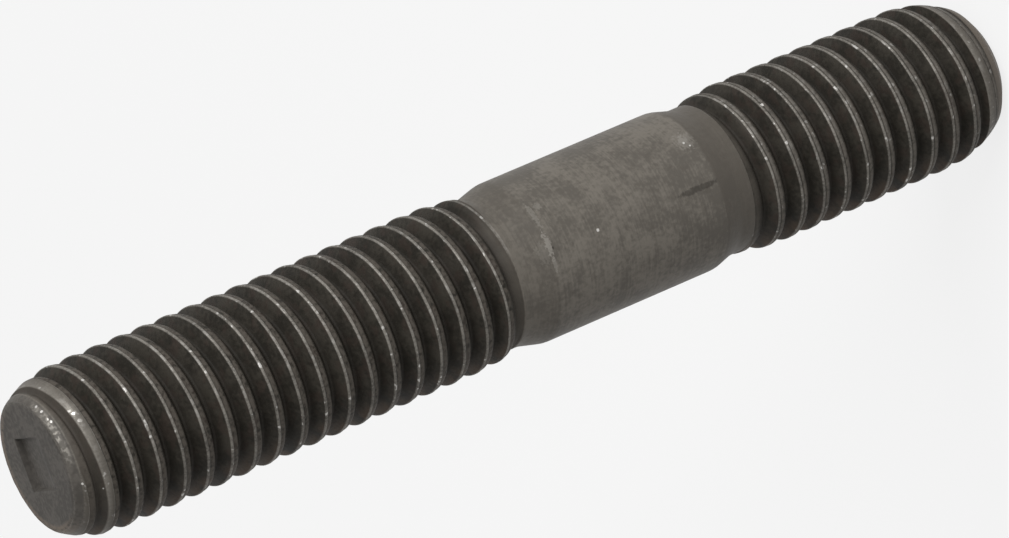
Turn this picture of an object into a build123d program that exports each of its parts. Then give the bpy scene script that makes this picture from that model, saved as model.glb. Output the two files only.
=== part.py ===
"""Double-ended manifold stud, M8 x 1.25, about 52 mm long.

One solid steel rod, turned and then thread-rolled at both ends. It stands on its tap end
(the end that screws into the cylinder head), and +Z runs up the axis to the nut end.
The origin is the centre of the tap end's face. Millimetres.

The two thread stretches are solid at the thread's crest radius.
"""
from build123d import *
import os
from math import cos, radians, sin, tan

# --- thread -------------------------------------------------------------------------
crest_radius = 3.93          # outside of an M8 rolled thread

# --- along the axis, from the tap end upwards ---------------------------------------
tap_bevel_height = 0.52      # blunt edge of the sheared blank
tap_lead_length = 2.88       # rounded nose that starts the stud in its tapped hole
tap_thread_length = 9.85     # full-height thread
tap_runout_length = 1.75     # last threads, a little lower, up to the dies' edge
tap_neck_length = 0.85       # plain neck between the run-out and the shank's cone
shank_length = 9.32          # plain shank between its two cones
nut_neck_length = 0.55
nut_runout_length = 1.62
nut_thread_length = 19.4
nut_lead_length = 2.33
nut_bevel_height = 0.43

# --- across the axis ----------------------------------------------------------------
tap_face_radius = 2.42
tap_nose_radius = 3.07       # where the tap end's bevel meets its rounded lead
tap_runout_radius = 3.70     # crest of the last thread, where it steps down to the neck
tap_neck_radius = 3.58
shank_radius = 3.87
nut_neck_radius = 3.54
nut_runout_radius = 3.76
nut_nose_radius = 3.28
nut_face_radius = 3.02

# --- cones from the necks up to the shank, as the angle from the axis ---------------
tap_cone_angle = 16.0
nut_cone_angle = 14.5

# --- lean of the nut end's sheared face, which drops towards +Y -----------------------
nut_face_lean = 1.8

# --- strength-grade punch mark in the nut end's face: a plain shallow square --------
mark_side = 2.35
mark_depth = 0.28
mark_off_centre = (0.13, -0.06)
mark_turn = -10.0            # degrees about the face's normal


def cone_length(small_radius, large_radius, angle):
    """Length along the axis of a cone between two radii."""
    return (large_radius - small_radius) / tan(radians(angle))


# --- heights of the profile's corners -----------------------------------------------
tap_nose = tap_bevel_height
tap_thread_start = tap_nose + tap_lead_length
tap_thread_end = tap_thread_start + tap_thread_length
tap_neck_start = tap_thread_end + tap_runout_length
tap_neck_end = tap_neck_start + tap_neck_length
shank_start = tap_neck_end + cone_length(tap_neck_radius, shank_radius, tap_cone_angle)
shank_end = shank_start + shank_length
nut_neck_start = shank_end + cone_length(nut_neck_radius, shank_radius, nut_cone_angle)
nut_neck_end = nut_neck_start + nut_neck_length
nut_thread_start = nut_neck_end + nut_runout_length
nut_thread_end = nut_thread_start + nut_thread_length
nut_nose = nut_thread_end + nut_lead_length
overall_length = nut_nose + nut_bevel_height

with BuildPart() as stud:
    # half section, revolved about the axis
    with BuildSketch(Plane.XZ):
        with BuildLine():
            Polyline((0, 0), (tap_face_radius, 0), (tap_nose_radius, tap_nose))
            TangentArc(
                (crest_radius, tap_thread_start),
                (tap_nose_radius, tap_nose),
                tangent=(0, -1),
            )
            Polyline(
                (crest_radius, tap_thread_start),
                (crest_radius, tap_thread_end),
                (tap_runout_radius, tap_neck_start),
                (tap_neck_radius, tap_neck_start),
                (tap_neck_radius, tap_neck_end),
                (shank_radius, shank_start),
                (shank_radius, shank_end),
                (nut_neck_radius, nut_neck_start),
                (nut_neck_radius, nut_neck_end),
                (nut_runout_radius, nut_neck_end),
                (crest_radius, nut_thread_start),
                (crest_radius, nut_thread_end),
            )
            TangentArc(
                (crest_radius, nut_thread_end),
                (nut_nose_radius, nut_nose),
                tangent=(0, 1),
            )
            Polyline(
                (nut_nose_radius, nut_nose),
                (nut_face_radius, overall_length),
                (0, overall_length),
                (0, 0),
            )
        make_face()
    revolve(axis=Axis.Z)

    # the nut end's face: it leans about the rim's highest point, on the -Y side
    lean = radians(nut_face_lean)
    face_height = overall_length - nut_face_radius * tan(lean)
    nut_face = Plane(
        origin=(0, 0, face_height), x_dir=(1, 0, 0), z_dir=(0, sin(lean), cos(lean))
    )
    split(bisect_by=nut_face, keep=Keep.BOTTOM)

    # the punch mark, sunk into that face
    with BuildSketch(nut_face):
        with Locations(mark_off_centre):
            Rectangle(mark_side, mark_side, rotation=mark_turn)
    extrude(amount=-mark_depth, mode=Mode.SUBTRACT)

stud.part.label = "stud"

os.makedirs("parts", exist_ok=True)
export_step(stud.part, "parts/stud.step")

print(f"overall length {overall_length:.3f} mm")
print(f"volume {stud.part.volume:.1f} mm3")
print(f"heights: tap thread {tap_thread_start:.2f} to {tap_thread_end:.2f}, "
      f"shank {shank_start:.2f} to {shank_end:.2f}, "
      f"nut thread {nut_thread_start:.2f} to {nut_thread_end:.2f}")
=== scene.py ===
import math

import bmesh
import bpy
from mathutils import Matrix, Vector, noise


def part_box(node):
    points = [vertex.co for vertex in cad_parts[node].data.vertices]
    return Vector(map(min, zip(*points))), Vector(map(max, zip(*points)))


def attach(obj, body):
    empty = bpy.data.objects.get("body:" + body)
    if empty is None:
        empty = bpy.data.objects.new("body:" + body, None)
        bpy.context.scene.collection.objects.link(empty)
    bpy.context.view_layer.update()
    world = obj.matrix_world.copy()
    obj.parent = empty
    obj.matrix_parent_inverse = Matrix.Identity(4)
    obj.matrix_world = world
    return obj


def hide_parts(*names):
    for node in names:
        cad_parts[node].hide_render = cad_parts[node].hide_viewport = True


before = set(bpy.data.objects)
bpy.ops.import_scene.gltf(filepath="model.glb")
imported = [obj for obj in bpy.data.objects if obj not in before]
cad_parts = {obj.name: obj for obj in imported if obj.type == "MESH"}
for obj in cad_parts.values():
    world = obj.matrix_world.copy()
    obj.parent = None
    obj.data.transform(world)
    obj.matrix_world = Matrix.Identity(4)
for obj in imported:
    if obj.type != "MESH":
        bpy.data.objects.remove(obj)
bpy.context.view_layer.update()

# ======================================================================================
# The blank
# A steel rod, sheared to length and turned: a rounded nose at each end to start the nut
# and the tapped hole, and a plain shank with a cone down to a neck at each side of it.
# ======================================================================================
MM = 0.001
low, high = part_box("stud")
LENGTH = high.z / MM
INSIDE_BOX = 0.002           # keeps the crests just inside the solid's box
CREST = min(-low.x, high.x, -low.y, high.y) / MM - INSIDE_BOX

# radii, in millimetres
TAP_FACE = 2.42
TAP_NOSE = 3.07
TAP_RUNOUT = 3.70
TAP_NECK = 3.58
SHANK = 3.87
NUT_NECK = 3.54
NUT_RUNOUT = 3.77
NUT_NOSE = 3.28
NUT_FACE = 3.02

# heights above the tap end's face
TAP_NOSE_AT = 0.52
TAP_THREAD_FROM = 3.40
TAP_THREAD_TO = 13.25
TAP_DIES_AT = 15.10          # the edge of the thread-rolling dies
TAP_NECK_TO = 15.85
SHANK_FROM = 16.86
SHANK_TO = 26.18
NUT_NECK_FROM = 27.46
NUT_DIES_AT = 27.94
NUT_BULGE_FROM = NUT_DIES_AT - 0.40
NUT_BULGE_TO = NUT_DIES_AT + 0.17
NUT_THREAD_FROM = 29.63
NUT_THREAD_TO = 49.03
NUT_NOSE_AT = 51.357
MIDDLE_AT = (SHANK_FROM + SHANK_TO) / 2
DIES_STEP = 0.03             # length of the step that a die's edge leaves
CORNER_SAMPLES = (-0.16, -0.08, 0, 0.08, 0.16)


def smooth_step(value, low_end, high_end):
    """0 below one value and 1 above another, eased between them."""
    share = min(1.0, max(0.0, (value - low_end) / (high_end - low_end)))
    return share * share * (3 - 2 * share)


def straight(place, *corners):
    """Value on straight lines through (place, value) corners, level beyond them."""
    if place <= corners[0][0]:
        return corners[0][1]
    for (low_place, low_value), (high_place, high_value) in zip(corners, corners[1:]):
        if place < high_place:
            share = (place - low_place) / (high_place - low_place)
            return low_value + share * (high_value - low_value)
    return corners[-1][1]


def rounded(height, crest_height, end_height, end_radius):
    """Radius on an arc that leaves the crest level and falls to a nose's end."""
    length = end_height - crest_height
    drop = CREST - end_radius
    arc = (length ** 2 + drop ** 2) / (2 * drop)
    return CREST - arc + math.sqrt(arc ** 2 - (height - crest_height) ** 2)


def blank(height):
    """Radius of the plain body between the dies' edges, its corners a little soft."""
    return sum(
        straight(
            height + offset,
            (TAP_NECK_TO, TAP_NECK),
            (SHANK_FROM, SHANK),
            (SHANK_TO, SHANK),
            (NUT_NECK_FROM, NUT_NECK),
        )
        for offset in CORNER_SAMPLES
    ) / len(CORNER_SAMPLES)


def crest_top(height):
    """Radius over a fully formed crest."""
    if height < TAP_NOSE_AT:
        slope = (TAP_NOSE - TAP_FACE) / TAP_NOSE_AT
        return TAP_FACE + slope * height
    if height < TAP_THREAD_FROM:
        return rounded(height, TAP_THREAD_FROM, TAP_NOSE_AT, TAP_NOSE)
    if height < TAP_DIES_AT:
        return straight(height, (TAP_THREAD_TO, CREST), (TAP_DIES_AT, TAP_RUNOUT))
    if height < TAP_DIES_AT + DIES_STEP:
        step = (height - TAP_DIES_AT) / DIES_STEP
        return TAP_RUNOUT + step * (TAP_NECK - TAP_RUNOUT)
    if height < NUT_BULGE_FROM:
        return blank(height)
    if height < NUT_BULGE_TO:
        bulge = smooth_step(height, NUT_BULGE_FROM, NUT_BULGE_TO)
        return blank(height) + bulge * (NUT_RUNOUT - blank(height))
    if height < NUT_THREAD_TO:
        return straight(height, (NUT_BULGE_TO, NUT_RUNOUT), (NUT_THREAD_FROM, CREST))
    if height < NUT_NOSE_AT:
        return rounded(height, NUT_THREAD_TO, NUT_NOSE_AT, NUT_NOSE)
    slope = (NUT_FACE - NUT_NOSE) / (LENGTH - NUT_NOSE_AT)
    return NUT_NOSE + slope * (height - NUT_NOSE_AT)


# ======================================================================================
# The threads
# Both are M8 x 1.25 right-hand, rolled between flat dies: the dies press the grooves in
# and push the steel up into crests of two lips with a seam between them. The grooves run
# out towards the shank, and the turned noses cut the first crests down.
# ======================================================================================
PITCH = 1.25
STEPS = 96                   # faces round one turn
TURNS = 44                   # enough to pass both ends
NUT_START = 49.207           # a crest's nut-side edge on the -Y side, in the nut thread
TAP_START = 49.125           # the same edge in the tap thread, counted on by whole turns

FLANK_ANGLE = math.radians(30)
FLANK = math.tan(FLANK_ANGLE)
EDGE_DROP = 0.012            # the nut-side lip's rolled-over edge
CREST_WIDTH = 0.42
CREST_DROP = 0.10
ROOT_RADIUS = 0.12

# the profile's lines on a crest, by their distance from its nut-side edge
LIP_LINES = (0, 0.03, 0.06)
LIP_BACK = 0.10
SEAM = 0.135
RIDGE_LINES = (0.17, 0.26, 0.34)
CREST_LINES = (*LIP_LINES, LIP_BACK, SEAM, *RIDGE_LINES, CREST_WIDTH)

# the depths of those lines under the crest level
NUT_DEPTHS = (EDGE_DROP, 0, 0, 0, 0.030, 0.032, 0.040, 0.060, CREST_DROP)
TAP_DEPTHS = (EDGE_DROP, 0, 0, 0.004, 0.035, 0.008, 0.012, 0.050, CREST_DROP)
NUT_CREST = dict(zip(CREST_LINES, NUT_DEPTHS))
TAP_CREST = dict(zip(CREST_LINES, TAP_DEPTHS))

VEE_DEPTH = (PITCH - CREST_WIDTH + (CREST_DROP + EDGE_DROP) * FLANK) / (2 * FLANK)
ROOT_AT = CREST_WIDTH + (VEE_DEPTH - CREST_DROP) * FLANK
ROOT_DEPTH = VEE_DEPTH - ROOT_RADIUS
ROOT_ARC_DEPTH = ROOT_DEPTH - ROOT_RADIUS / 2
ROOT = CREST - ROOT_DEPTH

FAR_FLANK_DEPTHS = (0.28, 0.46, ROOT_ARC_DEPTH)
NEAR_FLANK_DEPTHS = (ROOT_ARC_DEPTH, 0.42, 0.22, 0.06)

WAVER = 0.035                # how far a rolled crest strays along the axis
EDGE_SLACK = 1e-4            # a place this far outside a crest's edge still lies on it
DOUBLE = 0.0005              # vertices this near each other are one
BARE_SINK = 0.05             # how far the dies press down steel that forms no crest
RUNOUT_DEPTH = 0.08          # depth of the groove, below the neck, at a die's edge
FULL_GROOVE = 0.4            # a shallower groove has lower lips
EDGE_WEAR = 0.05             # half width of the rubbed corner at a nose's end


def groove_reach(depth):
    """Half the width of the root's arc at a depth."""
    rise = ROOT_DEPTH - min(depth, ROOT_DEPTH)
    return math.sqrt(max(0.0, ROOT_RADIUS ** 2 - (ROOT_RADIUS - rise) ** 2))


def far_flank(depth):
    """Where the flank under the far lip has a depth, from the crest's nut-side edge."""
    if depth > ROOT_ARC_DEPTH:
        return ROOT_AT - groove_reach(depth)
    return CREST_WIDTH + (depth - CREST_DROP) * FLANK


def near_flank(depth):
    """The same on the flank that climbs to the next crest's nut-side edge."""
    if depth > ROOT_ARC_DEPTH:
        return ROOT_AT + groove_reach(depth)
    return PITCH - (depth - EDGE_DROP) * FLANK


def groove_depth(along):
    """Depth under the crest level at a place on the flanks or in the root."""
    offset = abs(along - ROOT_AT)
    if offset < ROOT_RADIUS * math.cos(FLANK_ANGLE):
        return ROOT_DEPTH - ROOT_RADIUS + math.sqrt(ROOT_RADIUS ** 2 - offset ** 2)
    if along < ROOT_AT:
        return CREST_DROP + (along - CREST_WIDTH) / FLANK
    return EDGE_DROP + (PITCH - along) / FLANK


def groove_fall(along):
    """How far down the groove a place lies: 0 at the crest's edge and 1 at the root."""
    if along <= CREST_WIDTH:
        return 0.0
    edge_drop = CREST_DROP if along < ROOT_AT else EDGE_DROP
    return (groove_depth(along) - edge_drop) / (ROOT_DEPTH - edge_drop)


def slid(along, fall, cut_down):
    """Where a line of the thread's profile lies once its crest is cut down."""
    if along < LIP_LINES[-1]:
        place = near_flank(cut_down + EDGE_DROP) - PITCH + along
    elif along <= CREST_WIDTH:
        place = along + far_flank(cut_down + CREST_DROP) - CREST_WIDTH
    elif along < ROOT_AT:
        top_edge = cut_down + CREST_DROP
        place = far_flank(top_edge + fall * (ROOT_DEPTH - top_edge))
    else:
        top_edge = cut_down + EDGE_DROP
        place = near_flank(top_edge + fall * (ROOT_DEPTH - top_edge))
    # past the groove's end the lines spread out evenly again
    return place + smooth_step(cut_down, 0.40, 0.85) * (along - place)


def slid_height(top, along, fall):
    """The height a line of the profile slides to under its crest's edge."""
    if TAP_THREAD_FROM < top - along < NUT_THREAD_TO:
        return top - along
    lower, upper = top - 2.2, top + 0.9
    for _ in range(24):
        middle = (lower + upper) / 2
        if middle + slid(along, fall, CREST - crest_top(middle)) < top:
            lower = middle
        else:
            upper = middle
    return lower


def sway(place, crest_edge, along):
    """How far the rolled crest, and the flank's top beside it, stray along the axis."""
    held = straight(
        along,
        (RIDGE_LINES[0], 1),
        (RIDGE_LINES[1], 0),
        (near_flank(NEAR_FLANK_DEPTHS[1]), 0),
        (near_flank(NEAR_FLANK_DEPTHS[3]), 1),
    )
    return WAVER * held * noise.noise(Vector((place.x * 0.5, place.y * 0.5, crest_edge * 1.3)))


def crest_formed(crest_edge, tap_side):
    """1 where a crest has risen fully, falling to 0 where it runs out at the dies' edge."""
    if tap_side:
        return 1 - smooth_step(crest_edge, TAP_DIES_AT - 0.20, TAP_DIES_AT + 0.20)
    return smooth_step(crest_edge, NUT_DIES_AT + 0.06, NUT_DIES_AT + 0.31)


def shallow_start(turn_rise, height, tap_side):
    """1 in the last groove where it is shallow, as the crest beyond it never rose."""
    start, dies_at = (TAP_START, TAP_DIES_AT) if tap_side else (NUT_START, NUT_DIES_AT)
    whole_turns = math.floor((start - dies_at) / PITCH)
    unrisen = 1 - crest_formed(start - PITCH * whole_turns + turn_rise, tap_side)
    if tap_side:
        return 0.6 * unrisen * smooth_step(height, dies_at - 0.55, dies_at - 0.15)
    return unrisen * (1 - smooth_step(height, dies_at + 0.25, dies_at + 0.80))


def nose_share(height):
    """0 on full crests and 1 where a nose has cut them well down."""
    if TAP_THREAD_FROM < height < NUT_THREAD_TO:
        return 0.0
    return smooth_step(CREST - crest_top(height), 0.02, 0.12)


def lip_wear(along, crest_edge, formed, nose, tap_side):
    """How much of a crest's lips is rubbed bright."""
    rolled = formed
    if not tap_side:
        rolled = smooth_step(crest_edge, NUT_DIES_AT + 0.02, NUT_DIES_AT + 0.06)
        rolled *= 0.5 + 0.5 * formed
    if along in LIP_LINES:
        return rolled * (1 - nose) + (0.8 * nose if along == LIP_LINES[1] else 0.0)
    if along == LIP_BACK:
        return rolled * (0.4 if tap_side else 0.8)
    if tap_side and along in RIDGE_LINES[:2]:
        return formed * 0.35
    return 0.0


def shade_under_lip(along, fall):
    """Painted shade in the groove: 1 on the flank under the far lip, and up to 0.7 on the other
    flank, most at its root.
    """
    if along <= CREST_WIDTH:
        return 0.0
    return 1.0 if along < ROOT_AT else 0.7 * smooth_step(fall, 0.35, 1.0)


def pressed(height):
    """1 where the dies have rolled the blank and 0 between their edges."""
    if height < MIDDLE_AT:
        return 1 - smooth_step(height, TAP_DIES_AT, TAP_DIES_AT + DIES_STEP)
    return smooth_step(height, NUT_DIES_AT, NUT_DIES_AT + DIES_STEP)


def groove_floor(height):
    """Radius at the groove's root: it shallows towards the dies' edges."""
    if height < MIDDLE_AT:
        shallowing = smooth_step(height, TAP_DIES_AT - 0.45, TAP_DIES_AT)
        floor = ROOT + shallowing * (TAP_NECK - RUNOUT_DEPTH - ROOT)
    else:
        shallowing = 1 - smooth_step(height, NUT_DIES_AT, NUT_DIES_AT + 0.8)
        floor = ROOT + shallowing * (NUT_NECK - RUNOUT_DEPTH - ROOT)
    return blank(height) + pressed(height) * (floor - blank(height))


# one pitch of the thread, from one crest's nut-side edge to the next
lines = list(CREST_LINES)
lines += [far_flank(depth) for depth in FAR_FLANK_DEPTHS]
lines += [ROOT_AT - ROOT_RADIUS / 2, ROOT_AT, ROOT_AT + ROOT_RADIUS / 2]
lines += [near_flank(depth) for depth in NEAR_FLANK_DEPTHS]
lines += [PITCH]

# a ladder of those lines is spun up by one turn and copied on, past both ends
first_top = NUT_START - PITCH * math.ceil(NUT_START / PITCH)
bm = bmesh.new()
ladder = [bm.verts.new((0, -CREST, first_top - line)) for line in reversed(lines)]
for lower, upper in zip(ladder, ladder[1:]):
    bm.edges.new((lower, upper))
bmesh.ops.spin(
    bm,
    geom=bm.verts[:] + bm.edges[:],
    axis=(0, 0, 1),
    cent=(0, 0, 0),
    dvec=(0, 0, PITCH / STEPS),
    angle=2 * math.pi,
    steps=STEPS,
    use_merge=False,
    use_duplicate=False,
)
one_turn = bm.verts[:] + bm.edges[:] + bm.faces[:]
for turn in range(1, TURNS):
    copied = bmesh.ops.duplicate(bm, geom=one_turn)["geom"]
    copied_verts = [g for g in copied if isinstance(g, bmesh.types.BMVert)]
    bmesh.ops.translate(bm, vec=(0, 0, turn * PITCH), verts=copied_verts)
bmesh.ops.remove_doubles(bm, verts=bm.verts, dist=DOUBLE)

# each vertex keeps its place in the thread's profile; the profile's lines slide along
# the axis to lie on the edges of the crests that the noses cut down
layers = bm.verts.layers.float
surface_layer = layers.new("surface")
fall_layer = layers.new("fall")
formed_layer = layers.new("formed")
lip_layer = layers.new("lip")
ridge_layer = layers.new("ridge")
lip_shade_layer = layers.new("lip_shade")
shallow_layer = layers.new("shallow")
band_layer = layers.new("band")
for v in bm.verts:
    turn_rise = PITCH * (math.atan2(v.co.y, v.co.x) + math.pi / 2) / (2 * math.pi)
    from_edge = (NUT_START + turn_rise - v.co.z + EDGE_SLACK) % PITCH - EDGE_SLACK
    along = min(lines, key=lambda line: abs(line - from_edge)) % PITCH
    top = v.co.z + along
    tap_side = top < MIDDLE_AT
    if tap_side:
        top += TAP_START - NUT_START
    fall = groove_fall(along)
    crest_edge = top if along < ROOT_AT else top - PITCH
    height = slid_height(top, along, fall)
    v.co.z = height + sway(v.co, crest_edge, along)

    formed = crest_formed(crest_edge, tap_side)
    nose = nose_share(height)
    if along <= CREST_WIDTH:
        v[surface_layer] = (TAP_CREST if tap_side else NUT_CREST)[along]
    else:
        v[surface_layer] = CREST_DROP if along < ROOT_AT else EDGE_DROP
    v[fall_layer] = fall
    v[formed_layer] = formed
    v[lip_layer] = lip_wear(along, crest_edge, formed, nose, tap_side)
    v[ridge_layer] = formed if along in RIDGE_LINES else 0.0
    # painted shade down the grooves, under the far lips
    v[lip_shade_layer] = shade_under_lip(along, fall)
    v[shallow_layer] = shallow_start(turn_rise, height, tap_side)
    v[band_layer] = nose if along in LIP_LINES else 0.0


def cut(point, normal, faces=None, clear_outer=False):
    """Cuts all of the stud's faces, or some of them, along a plane."""
    if faces is None:
        pieces = bm.verts[:] + bm.edges[:] + bm.faces[:]
    else:
        corners = dict.fromkeys(v for f in faces for v in f.verts)
        pieces = [*corners, *dict.fromkeys(e for f in faces for e in f.edges), *faces]
    bmesh.ops.bisect_plane(
        bm,
        geom=pieces,
        dist=DOUBLE,
        plane_co=point,
        plane_no=normal,
        clear_outer=clear_outer,
    )


# rings at the body's corners
for height in (
    TAP_NOSE_AT - EDGE_WEAR, TAP_NOSE_AT, TAP_NOSE_AT + EDGE_WEAR,
    TAP_DIES_AT, TAP_DIES_AT + DIES_STEP, TAP_NECK_TO, SHANK_FROM,
    SHANK_TO, NUT_NECK_FROM, NUT_DIES_AT, NUT_DIES_AT + DIES_STEP,
    NUT_NOSE_AT - EDGE_WEAR, NUT_NOSE_AT, NUT_NOSE_AT + EDGE_WEAR,
):
    cut((0, 0, height), (0, 0, 1))

# the mesh so far is a plain tube: each vertex moves in to its own radius
edge_layer = layers.new("edge")
plain_layer = layers.new("plain")
for v in bm.verts:
    height = v.co.z
    run_out = TAP_THREAD_TO < height < NUT_THREAD_FROM
    over = crest_top(height)
    if run_out:
        unformed = blank(height) - BARE_SINK * pressed(height)
        over = unformed + v[formed_layer] * (over - unformed)
    floor = min(over, groove_floor(height))
    lowered = v[surface_layer] * min(1.0, (over - floor) / FULL_GROOVE)
    if run_out:
        die = CREST - v[surface_layer] - v[fall_layer] * (ROOT_DEPTH - v[surface_layer])
        radius = min(over - lowered * pressed(height), max(floor, die))
        bare, ended = 1 - pressed(height), 0.0
    else:
        radius = over - lowered - v[fall_layer] * (over - lowered - floor)
        bare, ended = 0.0, 1 - smooth_step(over - floor, 0.02, 0.06)
    v.co.xy = v.co.xy.normalized() * radius
    v[plain_layer] = max(bare, ended, v[band_layer])
    v[lip_layer] *= 1 - max(bare * (height < MIDDLE_AT), ended)
    v[ridge_layer] *= 1 - max(bare, ended)
    from_corner = min(abs(height - TAP_NOSE_AT), abs(height - NUT_NOSE_AT))
    v[edge_layer] = max(0.0, 1 - from_corner / EDGE_WEAR)
    if abs(height - TAP_DIES_AT - DIES_STEP) < 2 * DOUBLE:
        v[edge_layer] = 0.6

# ======================================================================================
# The end faces
# Each is where the rod was sheared: flat, with a worn rim; the nut end's leans a little.
# It has a plain square punched into it askew, a mark of the steel's strength grade.
# ======================================================================================
NUT_LEAN = math.radians(1.8)
NUT_FACE_AT = Vector((0, 0, LENGTH - NUT_FACE * math.tan(NUT_LEAN)))
NUT_FACE_OUT = Vector((0, math.sin(NUT_LEAN), math.cos(NUT_LEAN)))
FACE_SLACK = 0.002           # a vertex this near a face's plane lies on it

RIM_ROWS = (0.03, 0.08, 0.15)
RIM_WEAR = 0.05

MARK_HALF = 2.45 / 2
MARK_AT = Vector((0.13, 0.04))
MARK_TURN = math.radians(-7)
MARK_DEEP = 0.30
MARK_SHALLOW = 0.06
MARK_FROM_RIM = 0.2

# faces beyond these heights that are square to the axis are shaded flat
TAP_FLAT_TO = 0.02
NUT_FLAT_FROM = LENGTH - MARK_DEEP

# the mark's walls: distances outside its side, and the share of its depth reached there
STEEP_WALL = ((0.05, 0.0), (0.015, 0.06), (-0.03, 0.45), (-0.075, 0.88), (-0.12, 1.0))
SOFT_WALL = ((0.06, 0.0), (-0.06, 0.12), (-0.18, 0.45), (-0.32, 0.85), (-0.44, 1.0))

face_layer = layers.new("face")
wall_shade_layer = layers.new("wall")


def rim_drop(distance):
    """How far the worn rim has lost its corner, at a distance from the corner."""
    return RIM_WEAR * (1 - min(1.0, distance / RIM_ROWS[-1])) ** 2


def close_end(centre, out):
    """Shears the rod at a plane, rounds the rim and closes the face inside it."""
    for row in RIM_ROWS:
        cut(centre - out * row, out)
    cut(centre, out, clear_outer=True)
    rim = [
        e for e in bm.edges
        if e.is_boundary and abs((e.verts[0].co - centre).dot(out)) < FACE_SLACK
    ]
    for v in bm.verts:
        depth = (centre - v.co).dot(out)
        if depth < RIM_ROWS[-1]:
            v[plain_layer] = 1.0
            v[band_layer] = v[lip_layer] = v[ridge_layer] = v[lip_shade_layer] = 0.0
            v[edge_layer] = 1.0 if depth < RIM_WEAR else 0.0
            v.co.xy -= v.co.xy.normalized() * rim_drop(depth)
            if depth < 2 * DOUBLE:
                v.co -= out * rim_drop(0)
    inset = 0.0
    for row in RIM_ROWS:
        ring = bmesh.ops.extrude_edge_only(bm, edges=rim)["geom"]
        inner = {g for g in ring if isinstance(g, bmesh.types.BMVert)}
        rim = [g for g in ring if isinstance(g, bmesh.types.BMEdge) and set(g.verts) <= inner]
        for v in inner:
            v.co.xy -= v.co.xy.normalized() * (row - inset)
            v.co += out * ((centre - v.co).dot(out) - rim_drop(row))
            v[edge_layer] = 0.5 if row == RIM_ROWS[0] else 0.0
            v[face_layer] = 1.0
            v[plain_layer] = 0.0
        inset = row
    bmesh.ops.edgeloop_fill(bm, edges=rim)


def wall_share(distance, wall):
    """How much of the mark's depth is reached this far outside its side."""
    return straight(-distance, *((-outside, share) for outside, share in wall))


close_end(Vector((0, 0, 0)), Vector((0, 0, -1)))
close_end(NUT_FACE_AT, NUT_FACE_OUT)

# the nut end's face is cut along the tops, slopes and feet of the mark's walls
mark_right = Vector((math.cos(MARK_TURN), math.sin(MARK_TURN)))
mark_back = Vector((-mark_right.y, mark_right.x))
bm.normal_update()
for outwards, wall_rows in (
    (mark_right, STEEP_WALL),
    (-mark_right, STEEP_WALL),
    (mark_back, STEEP_WALL),
    (-mark_back, SOFT_WALL),
):
    for outside, _ in wall_rows:
        on_face = [
            f for f in bm.faces
            if abs(f.normal.dot(NUT_FACE_OUT)) > 0.999
            and abs((f.calc_center_median() - NUT_FACE_AT).dot(NUT_FACE_OUT)) < FACE_SLACK
        ]
        wall_line = MARK_AT + outwards * (MARK_HALF + outside)
        cut(wall_line.to_3d(), outwards.to_3d(), faces=on_face)

# the mark is deepest at its far side, where the punch leaned
for v in bm.verts:
    from_plane = abs((v.co - NUT_FACE_AT).dot(NUT_FACE_OUT))
    if from_plane > FACE_SLACK or v.co.xy.length > NUT_FACE - MARK_FROM_RIM:
        continue
    from_middle = v.co.xy - MARK_AT
    right = from_middle.dot(mark_right)
    back = from_middle.dot(mark_back)
    sides = wall_share(abs(right) - MARK_HALF, STEEP_WALL)
    far = wall_share(back - MARK_HALF, STEEP_WALL)
    share = sides * far * wall_share(-back - MARK_HALF, SOFT_WALL)
    backness = (back / MARK_HALF + 1) / 2
    v[face_layer] = 1.0
    # painted shade on the mark's walls: full on the far wall, 0.9 on the side wall towards
    # -mark_right, and growing towards the back on the other side wall
    v[wall_shade_layer] = 1.0 if 0.02 < far < 0.98 and share > 0.02 else 0.0
    if 0.02 < sides < 0.98 and share > 0.02:
        v[wall_shade_layer] = max(v[wall_shade_layer], 0.9 if right < 0 else 0.7 * backness)
    v.co -= NUT_FACE_OUT * share * (MARK_SHALLOW + backness * (MARK_DEEP - MARK_SHALLOW))

bmesh.ops.recalc_face_normals(bm, faces=bm.faces)
for f in bm.faces:
    height = f.calc_center_median().z
    at_an_end = height < TAP_FLAT_TO or height > NUT_FLAT_FROM
    f.smooth = not (at_an_end and abs(f.normal.z) > 0.99)
bmesh.ops.scale(bm, vec=(MM, MM, MM), verts=bm.verts)
mesh = bpy.data.meshes.new("threaded_stud")
bm.to_mesh(mesh)
bm.free()
stud = bpy.data.objects.new("threaded_stud", mesh)
bpy.context.collection.objects.link(stud)

# ======================================================================================
# The finish
# A dark phosphate coat, matt and a little blotched, with rust starting on the underside.
# It is rubbed to bare steel on the crests' lips, the shank's corners and the rims. The
# sheared faces are plain dull steel. Shade is painted into the colour under the crests'
# far lips, down the grooves, on the punched mark's walls and on the nut nose's side away
# from the lamp; the lips also carry painted highlight on the side towards the lamp.
# ======================================================================================


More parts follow.
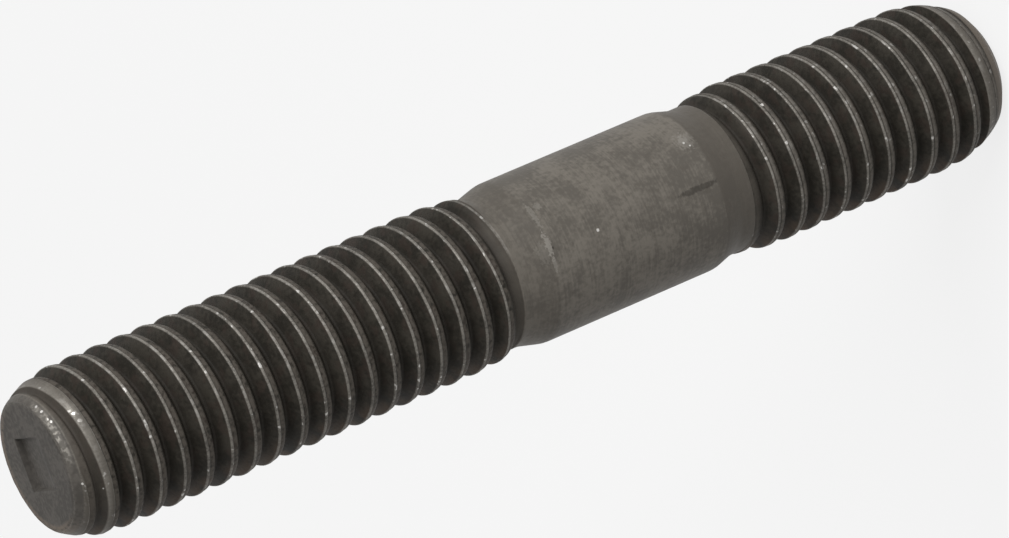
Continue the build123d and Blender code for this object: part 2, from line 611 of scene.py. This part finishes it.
class Shade:
    """A socket of a material's node tree. Plain sums on it add Math nodes."""

    def __init__(self, tree, socket=None):
        self.tree = tree
        self.socket = socket

    def node(self, kind, settings, values, out=0):
        """Adds a node: its settings first, then its sockets' values or links."""
        made = self.tree.nodes.new(kind)
        for name, value in settings.items():
            setattr(made, name, value)
        for name, value in values.items():
            if isinstance(value, Shade):
                self.tree.links.new(value.socket, made.inputs[name])
            else:
                made.inputs[name].default_value = value
        return Shade(self.tree, made.outputs[out])

    def sum(self, operation, first, second):
        return self.node("ShaderNodeMath", {"operation": operation}, {0: first, 1: second})

    def __add__(self, other):
        return self.sum("ADD", self, other)

    __radd__ = __add__

    def __sub__(self, other):
        return self.sum("SUBTRACT", self, other)

    def __rsub__(self, other):
        return self.sum("SUBTRACT", other, self)

    def __mul__(self, other):
        return self.sum("MULTIPLY", self, other)

    __rmul__ = __mul__

    def __neg__(self):
        return self * -1

    def vector(self, operation, other=(0, 0, 0), out="Vector"):
        """A Vector Math node on this vector. Its Value output gives a number."""
        settings = {"operation": operation}
        return self.node("ShaderNodeVectorMath", settings, {0: self, 1: other}, out)

    def ramp(self, low_end, high_end):
        """0 below one value and 1 above another, eased between them."""
        return self.node(
            "ShaderNodeMapRange",
            {"interpolation_type": "SMOOTHSTEP"},
            {"Value": self, "From Min": low_end, "From Max": high_end},
        )

    def mix(self, first, second):
        """The first colour where this mask is 0, the second where it is 1."""
        return self.node(
            "ShaderNodeMix",
            {"data_type": "RGBA"},
            {"Factor": self, 6: first, 7: second},
            out=2,
        )


FLANK_DARK = (0.0185, 0.0166, 0.0130, 1)
FLANK_LIGHT = (0.0400, 0.0355, 0.0285, 1)
FLANK_RUST = (0.040, 0.0285, 0.0230, 1)
RUST = (0.075, 0.048, 0.030, 1)
RIDGE_COAT = (0.070, 0.061, 0.051, 1)
# dark of the pit and the scratch, and also the painted shade under the lips and in the mark's
# walls
PIT_AND_SHADE = (0.016, 0.0138, 0.0110, 1)
# the necks' duller coat, which is also painted as shade on the nut nose's side away from the lamp
NECK_COAT_AND_SHADE = (0.078, 0.069, 0.058, 1)
SHANK_COAT = (0.094, 0.085, 0.073, 1)
SHANK_LIGHT = (0.146, 0.132, 0.113, 1)
FACE_COAT = (0.062, 0.057, 0.051, 1)
FACE_LIGHT = (0.095, 0.087, 0.078, 1)
RIM_RUST = (0.175, 0.143, 0.114, 1)
WORN_METAL = (0.210, 0.196, 0.174, 1)
BRIGHT_METAL = (0.520, 0.505, 0.480, 1)
FACING_ANGLE = math.radians(-66)     # the side towards the lamp and the camera

# marks: angle in degrees from +X, height and radius of the middle, half lengths round and
# along the stud, and strength
SCUFFS = (
    (-58.5, 17.35, 3.87, (0.60, 0.50), 0.45),
    (-57.0, 17.40, 3.87, (0.30, 0.25), 0.45),
    (-60.5, 25.61, 3.87, (0.26, 0.20), 0.45),
    (-66.0, 26.06, 3.85, (0.80, 0.14), 0.50),
    (-88.0, 26.12, 3.85, (0.70, 0.17), 0.95),
    (-101.0, 26.14, 3.85, (0.60, 0.12), 0.50),
    (-92.0, 26.45, 3.80, (0.60, 0.35), 0.25),
    (-60.0, 50.60, 3.60, (0.55, 0.10), 0.45),
)
# bright nicks: angle, height and radius of the middle, and half length
NICKS = (
    (-47.5, 13.96, 3.60, 0.10),
    (-111.8, 14.45, 3.60, 0.08),
    (-92.1, 23.51, 3.87, 0.08),
    (-65.4, 50.58, 3.62, 0.10),
    (-100.6, 47.90, 3.93, 0.09),
    (-124.0, 50.60, 3.60, 0.09),
    (-56.7, 12.86, 3.93, 0.10),
    (-88.3, 12.81, 3.93, 0.10),
    (-40.0, 51.54, 3.20, 0.08),
    (-47.7, 51.54, 3.20, 0.09),
    (-57.1, 51.56, 3.20, 0.08),
    (-60.5, 51.50, 3.22, 0.08),
    (-116.2, 51.36, 3.28, 0.07),
    (-122.0, 51.79, 3.38, 0.07),
    (-154.0, 51.74, 3.25, 0.08),
    (-60.0, 17.42, 3.87, 0.07),
    (-116.8, 31.83, 3.90, 0.10),
    (-63.5, 17.25, 3.87, 0.06),
)

steel = bpy.data.materials.new("phosphated_steel")
steel.use_nodes = True
tree = steel.node_tree
tree.nodes.clear()
root = Shade(tree)
surface = tree.nodes.new("ShaderNodeBsdfPrincipled")
result = tree.nodes.new("ShaderNodeOutputMaterial")
tree.links.new(surface.outputs[0], result.inputs[0])

# places on the stud, in millimetres
spot = root.node("ShaderNodeTexCoord", {}, {}, out="Object").vector("MULTIPLY", (1 / MM,) * 3)
across = root.node("ShaderNodeSeparateXYZ", {}, {"Vector": spot}, out="X")
height = root.node("ShaderNodeSeparateXYZ", {}, {"Vector": spot}, out="Z")
reach = spot.vector("MULTIPLY", (1, 1, 0)).vector("LENGTH", out="Value")
facing_way = (math.cos(FACING_ANGLE), math.sin(FACING_ANGLE), 0)
facing = spot.vector("DOT_PRODUCT", facing_way, out="Value")


def attribute(name):
    """One of the mesh's own masks."""
    return root.node("ShaderNodeAttribute", {"attribute_name": name}, {}, out="Fac")


def grain(scale, detail, stretch=(1, 1, 1)):
    """Noise over the stud, its scale in cycles per millimetre."""
    stretched = spot.vector("MULTIPLY", stretch)
    values = {"Vector": stretched, "Scale": scale, "Detail": detail}
    return root.node("ShaderNodeTexNoise", {}, values)


lip = attribute("lip")
ridge = attribute("ridge")
plain = attribute("plain")
edge = attribute("edge")
face = attribute("face")
lip_shade = attribute("lip_shade")
shallow = attribute("shallow")
wall = attribute("wall")

fine = grain(9.0, 3.0)
speckle = grain(5.0, 4.0)
patches = grain(0.8, 3.0)
broad = grain(0.16, 2.0)
turned = grain(1.2, 3.0, (0.4, 0.4, 9))
rusting = grain(1.4, 2.0, (1, 1, 1.7))
blotch = grain(2.2, 4.0, (1.4, 1.4, 1))


def patch(angle, height_at, radius, half_lengths, ragged):
    """A mark on the stud's side, 1 in its middle, with a ragged edge."""
    turn = math.radians(angle)
    middle = (math.cos(turn) * radius, math.sin(turn) * radius, height_at)
    half_round, half_along = half_lengths
    away = spot.vector("SUBTRACT", middle).vector("DIVIDE", (half_round, half_round, half_along))
    distance = away.vector("LENGTH", out="Value")
    return 1 - (distance + ragged * (fine - 0.5)).ramp(0.6, 1.0)


# the coat in the grooves and on the crests
coat = (speckle * 0.45 + patches * 0.55).ramp(0.38, 0.62).mix(FLANK_DARK, FLANK_LIGHT)
coat = (rusting.ramp(0.50, 0.64) * 0.45).mix(coat, FLANK_RUST)
coat = ((-across).ramp(2.9, 3.8) * patches.ramp(0.35, 0.6) * 0.6).mix(coat, RUST)
coat = (ridge * speckle.ramp(0.30, 0.60)).mix(coat, RIDGE_COAT)
# painted shade under the crests' far lips and down the other flank to the root
coat = (lip_shade * 0.75).mix(coat, PIT_AND_SHADE)
coat = (height.ramp(50.2, 50.9) * 0.55).mix(coat, RIDGE_COAT)
coat = (shallow * (0.35 + 0.6 * patches)).mix(coat, NECK_COAT_AND_SHADE)

# the coat on the shank, the cones, the necks and the noses
tone = broad * 0.35 + patches * 0.25 + turned * 0.15 + speckle * 0.25
body = tone.ramp(0.43, 0.57).mix(SHANK_COAT, SHANK_LIGHT)
body = (blotch.ramp(0.56, 0.66) * 0.35).mix(body, NECK_COAT_AND_SHADE)
tap_side_of_shank = 1 - height.ramp(SHANK_FROM - 0.06, SHANK_FROM + 0.09)
nut_side_of_shank = height.ramp(SHANK_TO - 0.03, SHANK_TO + 0.12)
body = (tap_side_of_shank * 0.8 + nut_side_of_shank * 0.3).mix(body, NECK_COAT_AND_SHADE)
# painted shade: the nut's nose is darker on its side away from the lamp
nut_nose = height.ramp(49.7, 50.1)
body = (nut_nose * (1 - facing.ramp(1.6, 3.2)) * 0.75).mix(body, NECK_COAT_AND_SHADE)
tap_bevel = 1 - height.ramp(0.5, 1.3)
body = (tap_bevel * 0.45).mix(body, RIM_RUST)
coat = plain.mix(coat, body)

# the sheared faces and the nut end's bevel, which has the same dull steel
sheared = (patches * 0.4 + speckle * 0.6).ramp(0.40, 0.60).mix(FACE_COAT, FACE_LIGHT)
nut_bevel = height.ramp(NUT_NOSE_AT, NUT_NOSE_AT + 0.06) * 0.75
coat = root.sum("MAXIMUM", face, nut_bevel).mix(coat, sheared)
at_rim = reach.ramp(NUT_FACE - 0.34, NUT_FACE - 0.14) * height.ramp(51.3, 51.5)
far_rim = at_rim * (-facing).ramp(-0.6, 1.4)
coat = (far_rim * 0.75 * speckle.ramp(0.30, 0.50)).mix(coat, RIM_RUST)
# painted shade on the mark's walls
coat = (wall * 0.45).mix(coat, PIT_AND_SHADE)

# a pit and a scratch on the shank
pit = patch(-91.0, 26.00, SHANK, (0.10, 0.10), 0.6)
scratch = patch(-93.2, 17.95, SHANK, (0.18, 1.30), 1.2)
coat = (pit * 0.8).mix(coat, PIT_AND_SHADE)
coat = (scratch * 0.5).mix(coat, PIT_AND_SHADE)

# rubbed through to the steel
lit_front = facing.ramp(2.5, 3.5)
worn = lip * (0.32 + 0.35 * fine.ramp(0.36, 0.60) + 0.22 * patches.ramp(0.45, 0.55))
# the lips towards the lamp are brighter: their wear with painted highlight on it
worn = worn + lip * lit_front * 0.12
worn = worn + edge * 0.30 * fine.ramp(0.35, 0.60)
on_bevel = height.ramp(51.40, 51.52) * (1 - height.ramp(51.66, 51.74))
worn = worn + on_bevel * facing.ramp(2.55, 2.85) * (0.25 + 0.7 * speckle.ramp(0.45, 0.60))
for angle, height_at, radius, half_lengths, strength in SCUFFS:
    worn = worn + strength * patch(angle, height_at, radius, half_lengths, 2.6)
colour = root.sum("MINIMUM", worn, 1.0).mix(coat, WORN_METAL)

# nicked bright
bright = lip * grain(3.2, 1.0).ramp(0.66, 0.72) * 0.8
# more bright nicks on the lips towards the lamp, partly painted highlight
bright = bright + lip * lit_front * grain(2.4, 2.0).ramp(0.54, 0.64) * 0.2
for angle, height_at, radius, half in NICKS:
    bright = bright + patch(angle, height_at, radius, (half, half), 1.4)
bright = root.sum("MINIMUM", bright, 1.0)
colour = bright.mix(colour, BRIGHT_METAL)

relief = speckle * 0.5 + fine * 0.2 + patches * 0.3 + turned * 0.25 * plain
bump_values = {"Strength": 0.6, "Distance": 0.04 * MM, "Height": relief}
bump = root.node("ShaderNodeBump", {}, bump_values)
tree.links.new(colour.socket, surface.inputs["Base Color"])
tree.links.new((worn * 0.3 + bright * 0.4).socket, surface.inputs["Metallic"])
tree.links.new((0.60 - 0.12 * worn - 0.10 * plain).socket, surface.inputs["Roughness"])
tree.links.new(bump.socket, surface.inputs["Normal"])
surface.inputs["Specular IOR Level"].default_value = 0.12
mesh.materials.append(steel)

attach(stud, "root")
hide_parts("stud")

# ======================================================================================
# The studio
# A white table in white surroundings, both of them still white where the camera sees them
# directly. One wide soft lamp stands to the stud's right, in front of it and above.
# ======================================================================================
PAPER_WHITE = (0.8, 0.8, 0.8, 1)
WHITE = (1, 1, 1, 1)
DAYLIGHT = 0.42              # the surroundings' light on the stud

bm = bmesh.new()
bmesh.ops.create_grid(bm, x_segments=1, y_segments=1, size=3.0)
table_mesh = bpy.data.meshes.new("table")
bm.to_mesh(table_mesh)
bm.free()
table = bpy.data.objects.new("table", table_mesh)
bpy.context.collection.objects.link(table)

paper = bpy.data.materials.new("white_paper")
paper.use_nodes = True
tree = paper.node_tree
tree.nodes.clear()
root = Shade(tree)


def seen_directly(tree_root):
    """1 for what the camera, a mirror or glass shows and 0 for the light itself."""
    rays = ("Is Camera Ray", "Is Glossy Ray", "Is Transmission Ray")
    first, second, third = (tree_root.node("ShaderNodeLightPath", {}, {}, out=ray) for ray in rays)
    return first + second + third


matt = root.node("ShaderNodeBsdfDiffuse", {}, {"Color": PAPER_WHITE})
shining = root.node("ShaderNodeEmission", {}, {"Color": WHITE, "Strength": 1.0})
mostly_seen = seen_directly(root) * 0.8
lit = root.node("ShaderNodeMixShader", {}, {0: mostly_seen, 1: matt, 2: shining})
paper_output = tree.nodes.new("ShaderNodeOutputMaterial")
tree.links.new(lit.socket, paper_output.inputs[0])
table_mesh.materials.append(paper)

world = bpy.data.worlds.new("surroundings")
bpy.context.scene.world = world
world.use_nodes = True
tree = world.node_tree
tree.nodes.clear()
root = Shade(tree)
strength = DAYLIGHT + (1 - DAYLIGHT) * seen_directly(root)
sky = root.node("ShaderNodeBackground", {}, {"Color": WHITE, "Strength": strength})
world_output = tree.nodes.new("ShaderNodeOutputWorld")
tree.links.new(sky.socket, world_output.inputs[0])

TOWARDS_LAMP = Vector((0.53, -0.60, 0.40)).normalized()
LAMP_DISTANCE = 0.6
lamp_data = bpy.data.lights.new("soft_lamp", "AREA")
lamp_data.size = 0.45
lamp_data.energy = 3.4
lamp = bpy.data.objects.new("soft_lamp", lamp_data)
bpy.context.collection.objects.link(lamp)
lamp.location = Vector((0, 0, LENGTH * MM / 2)) + TOWARDS_LAMP * LAMP_DISTANCE
lamp.rotation_mode = "QUATERNION"
lamp.rotation_quaternion = TOWARDS_LAMP.to_track_quat("Z", "Y")

# the camera looks slightly down on the nut end, and is rolled so that the stud rises
# from its nut end, low on the left, to its tap end, high on the right
AIM = Vector((-0.00010, 0, 0.0266))
DISTANCE = 0.4095
ELEVATION = math.radians(27.76)
ROLL = math.radians(-113.23)
camera_data = bpy.data.cameras.new("camera")
camera_data.sensor_width = 36
camera_data.lens = 324.6
camera = bpy.data.objects.new("camera", camera_data)
bpy.context.collection.objects.link(camera)
backwards = Vector((0, -math.cos(ELEVATION), math.sin(ELEVATION)))
camera.location = AIM + backwards * DISTANCE
camera.rotation_mode = "QUATERNION"
level = backwards.to_track_quat("Z", "Y")
camera.rotation_quaternion = level @ Matrix.Rotation(ROLL, 3, "Z").to_quaternion()
bpy.context.scene.camera = camera

bpy.context.scene.view_settings.view_transform = "Standard"
